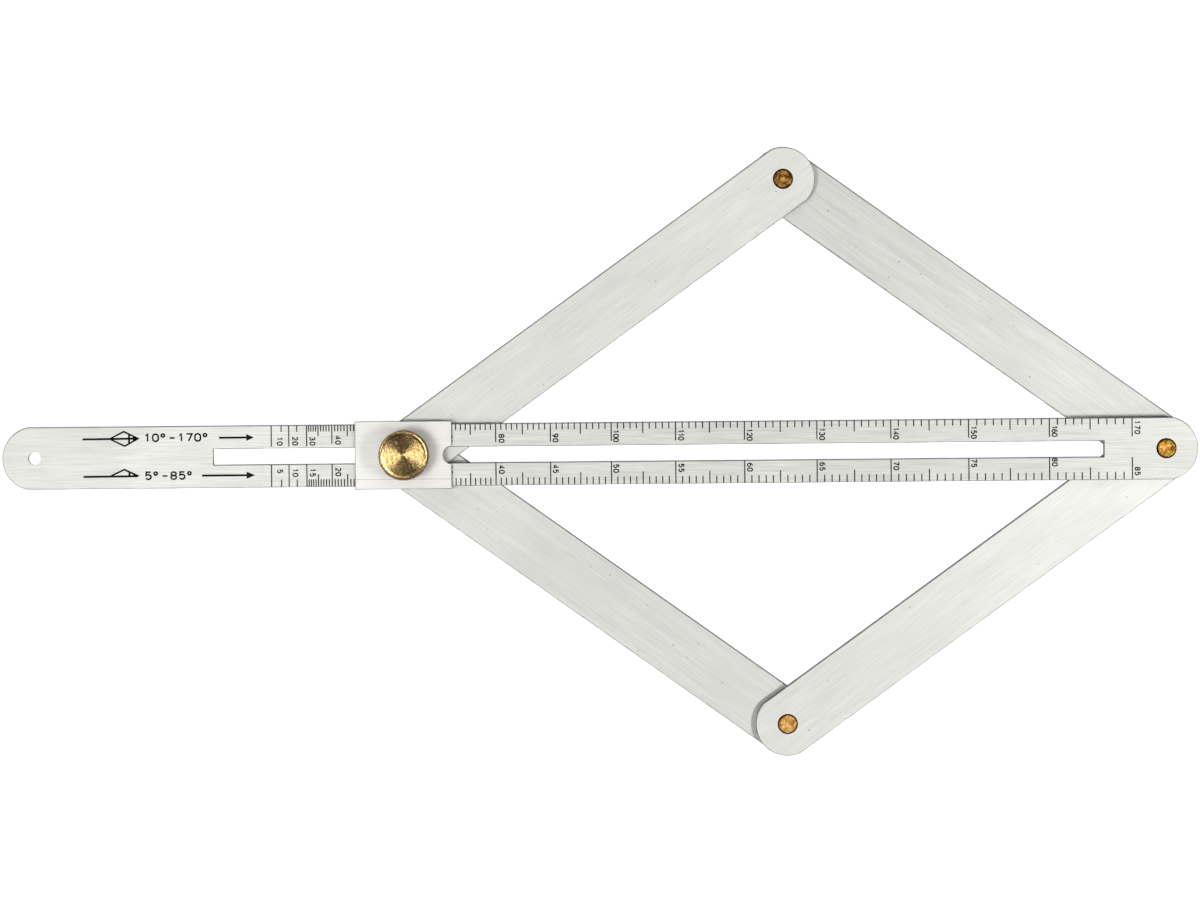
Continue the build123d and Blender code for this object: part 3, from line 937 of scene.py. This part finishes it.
class InkSheet:
    """Collects flat shapes on the ruler's face, in millimetres, and turns them into one printed piece."""

    def __init__(self):
        self.corners = []
        self.faces = []
        self.count = 0

    def add(self, corners, faces):
        """Takes in one shape."""
        self.corners.append(corners)
        self.faces += [[corner + self.count for corner in face] for face in faces]
        self.count += len(corners)

    def stroke(self, points, width, closed=False):
        """Adds a line of a given width."""
        self.add(*ribbon(points, width, closed))

    def fill(self, points):
        """Adds a filled convex shape."""
        self.add(*slab(points))

    def arrow(self, start, tip, y, half_height, head):
        """Adds a level arrow from a start to its tip, with a filled head."""
        self.stroke([(start, y), (tip - head, y)], LINE)
        self.fill([(tip - head, y - half_height), (tip, y), (tip - head, y + half_height)])

    def write(self, glyphs, place, reading, pitch, lettering):
        """Writes glyphs in a row along a unit vector, one pitch apart, each scaled to the lettering's
        width and height and drawn with its stroke."""
        height, width, thickness = lettering
        along = np.array(reading)
        up = np.array([-along[1], along[0]])
        for index, glyph in enumerate(glyphs):
            corner = np.asarray(place) + along * pitch * index
            for points, closed in NUMERALS[glyph]:
                spread = points[:, :1] * width * along + points[:, 1:] * height * up
                self.stroke(corner + spread, thickness, closed)

    def finish(self, name):
        """Makes the collected shapes one piece on the ruler."""
        corners = np.vstack(self.corners) * MM
        return make_object(name, corners, self.faces, ink, "ruler")


# ---------------------------------------------------------------- printed scales
TICK_WIDTH = 0.37
# Lengths of the marks, on the upper scale and on the lower one
LONG_MARK = (6.1, BAR_HALF - SLOT_HALF - EDGE_BREAK)
EARLY_LONG_MARK = (6.9, BAR_HALF - SLOT_HALF - EDGE_BREAK)
MIDDLE_MARK = (3.7, 4.1)
SHORT_MARK = (2.2, 2.55)
# The first marks stand five degrees apart. From the next angle on there is one for each degree
FIRST_MARKS = [10, 15, 20, 25]
CLOSE_FROM = 30
LAST_MARK = 170
# Printed places of the first two marks, which stand wider apart than the rest
EARLY_MARKS = {10: -105.3, 15: -102.12}
# How far the printing strays from the exact marks: at these angles, by these lengths
STRAY_ANGLES = [20, 35, 45, 70, 80, 90, 97, 110, 135, 140, 145, 150, 155, 160, 165, 170]
STRAYS = [-0.45, -0.4, 0.0, 0.25, 0.12, -0.05, 0.18, -0.04, -0.1, -0.6, -0.73, -0.65, -0.1, -0.35, -0.24, 0.2]
# Height, width and stroke of the digits, and their pitch on the lower scale and on the upper one
# with two and with three digits
DIGITS = (1.56, 0.94, 0.385)
LOWER_PITCH = 1.5
TWO_DIGIT_PITCH = 1.55
THREE_DIGIT_PITCH = 1.35
DOWN = (0.0, -1.0)
# Gap from the long mark to its label, where each scale's label starts, and the pitch of its
# digits, for the labels that stray from the rest
LABEL_GAP = 0.89
LABEL_GAPS = {10: 1.94, 20: 1.24, 30: 1.09, 40: 1.19, 70: 0.24, 80: 1.09, 90: 0.84, 100: 0.74, 110: 0.99}
TWO_DIGIT_START = 6.35
THREE_DIGIT_START = 7.4
UPPER_STARTS = {10: 6.1, 20: 6.1, 30: 6.0, 40: 6.25, 150: 7.6, 160: 7.5, 170: 8.9}
LOWER_START = -3.65
LOWER_STARTS = {10: -4.35, 20: -4.05, 30: -4.05, 40: -3.95, 150: -3.0, 160: -2.9, 170: -6.05}
UPPER_PITCHES = {110: 1.2, 150: 1.45, 160: 1.22, 170: 1.6}


def mark_place(angle):
    """Place of a printed mark along the ruler: where the index stands when the rhombus opens to an
    angle, in degrees, which is twice the arm's pitch times the cosine of half the angle away from
    the ruler's pivot, less the index's lead. The printing's own stray there comes on top."""
    if angle in EARLY_MARKS:
        return EARLY_MARKS[angle]
    exact = ruler_pivot.x / MM - 2 * ARM_PITCH * np.cos(np.radians(angle) / 2) + INDEX_TO_CLAMP
    return exact + np.interp(angle, STRAY_ANGLES, STRAYS)


def mark_lengths(angle):
    """Lengths of a mark on the upper and the lower scale."""
    if angle % 10 == 0:
        return LONG_MARK if angle > CLOSE_FROM else EARLY_LONG_MARK
    if angle % 5 == 0 and angle > CLOSE_FROM:
        return MIDDLE_MARK
    return SHORT_MARK


def print_scales():
    """Both scales: the marks from each edge inwards, and the labels beside the long marks, which give
    the whole angle on the upper scale and half of it on the lower one."""
    sheet = InkSheet()
    edge = BAR_HALF - EDGE_BREAK
    for angle in FIRST_MARKS + list(range(CLOSE_FROM, LAST_MARK + 1)):
        x = mark_place(angle)
        upper, lower = mark_lengths(angle)
        sheet.stroke([(x, BAR_HALF - upper), (x, edge)], TICK_WIDTH)
        sheet.stroke([(x, -edge), (x, -BAR_HALF + lower)], TICK_WIDTH)
    for angle in range(FIRST_MARKS[0], LAST_MARK + 1, 10):
        x = mark_place(angle) + LABEL_GAPS.get(angle, LABEL_GAP)
        three_digits = angle >= 100
        y = UPPER_STARTS.get(angle, THREE_DIGIT_START if three_digits else TWO_DIGIT_START)
        pitch = UPPER_PITCHES.get(angle, THREE_DIGIT_PITCH if three_digits else TWO_DIGIT_PITCH)
        sheet.write(str(angle), (x, y), DOWN, pitch, DIGITS)
        sheet.write(str(angle // 2), (x, LOWER_STARTS.get(angle, LOWER_START)), DOWN, LOWER_PITCH, DIGITS)
    sheet.finish("scale_marks")


# ---------------------------------------------------------------- printed signs
LINE = 0.66
THIN_LINE = 0.58
SIGN_DIGITS = (2.3, 1.75, 0.54)
SIGN_PITCH = 2.7
RIGHT = (1.0, 0.0)
UPPER_RANGE = ["1", "0", "degree", "dash", "1", "7", "0", "degree"]
LOWER_RANGE = ["5", "degree", "dash", "8", "5", "degree"]


def print_signs():
    """Signs at the ruler's left end: a rhombus on its long line for the upper scale and half of one
    for the lower, each with a cross line and a dark tip, then the range of its scale and an arrow
    towards it."""
    sheet = InkSheet()
    sheet.stroke([(-165.7, 5.97), (-148.2, 6.1)], LINE)
    sheet.stroke([(-157.0, 6.05), (-152.45, 8.35), (-147.9, 6.1), (-152.15, 3.7)], THIN_LINE, True)
    sheet.stroke([(-150.8, 7.4), (-150.8, 4.6)], LINE)
    sheet.fill([(-149.6, 5.2), (-147.3, 6.1), (-149.6, 6.95)])
    sheet.arrow(-122.0, -110.8, 6.12, 1.1, 2.5)
    sheet.stroke([(-165.5, -6.02), (-148.2, -5.96)], LINE)
    sheet.stroke([(-157.0, -5.95), (-152.4, -3.8), (-147.9, -5.9)], THIN_LINE)
    sheet.stroke([(-150.77, -4.6), (-150.77, -5.9)], LINE)
    sheet.fill([(-149.6, -6.15), (-147.3, -6.0), (-149.6, -5.1)])
    sheet.arrow(-127.6, -110.5, -5.95, 1.15, 2.8)
    sheet.write(UPPER_RANGE, (-145.9, 5.15), RIGHT, SIGN_PITCH, SIGN_DIGITS)
    sheet.write(LOWER_RANGE, (-145.6, -7.0), RIGHT, SIGN_PITCH, SIGN_DIGITS)
    sheet.finish("scale_signs")


print_scales()
print_signs()

# ---------------------------------------------------------------- table and surroundings
WHITE = (1.0, 1.0, 1.0, 1.0)
TABLE_REACH = 4.0
TABLE_GREY = (0.5, 0.5, 0.5, 1.0)
TABLE_GLOW = 0.82


def lay_table():
    """White table: grey paper that takes the object's shadow, and a glow that only the camera,
    reflections and clear things see."""
    reach = TABLE_REACH
    mesh = bpy.data.meshes.new("table_top")
    corners = [(-reach, -reach, 0), (reach, -reach, 0), (reach, reach, 0), (-reach, reach, 0)]
    mesh.from_pydata(corners, [], [(0, 1, 2, 3)])
    table = bpy.data.objects.new("table_top", mesh)
    bpy.context.collection.objects.link(table)
    material = bpy.data.materials.new("white_table")
    material.use_nodes = True
    tree = material.node_tree
    tree.nodes.clear()
    paper = add_node(tree, "ShaderNodeBsdfDiffuse", {"Color": TABLE_GREY})
    path = tree.nodes.new("ShaderNodeLightPath").outputs
    seen = calculate(tree, "MAXIMUM", path["Is Camera Ray"], path["Is Glossy Ray"])
    shown = calculate(tree, "MAXIMUM", seen, path["Is Transmission Ray"])
    strength = calculate(tree, "MULTIPLY", shown, TABLE_GLOW)
    glow = add_node(tree, "ShaderNodeEmission", {"Color": WHITE, "Strength": strength})
    both = add_node(tree, "ShaderNodeAddShader", {0: paper.outputs[0], 1: glow.outputs[0]})
    add_node(tree, "ShaderNodeOutputMaterial", {0: both.outputs[0]})
    mesh.materials.append(material)


WALL_LEVEL = 0.7
CEILING_LEVEL = 0.11
BACK_SHARE = 0.4


def light_studio():
    """Plain surroundings: bright walls that dim towards the ceiling and towards the back."""
    world = bpy.data.worlds.new("studio")
    world.use_nodes = True
    tree = world.node_tree
    tree.nodes.clear()
    direction = tree.nodes.new("ShaderNodeTexCoord")
    sides = parts_of(tree, direction.outputs["Generated"])
    overhead = remap(tree, sides[2], 0.06, 0.4, WALL_LEVEL, CEILING_LEVEL)
    facing = remap(tree, sides[1], -0.6, 0.6, 1.0, BACK_SHARE)
    level = calculate(tree, "MULTIPLY", overhead, facing)
    sky = add_node(tree, "ShaderNodeBackground", {"Color": WHITE, "Strength": level})
    add_node(tree, "ShaderNodeOutputWorld", {0: sky.outputs[0]})
    bpy.context.scene.world = world


lay_table()
light_studio()
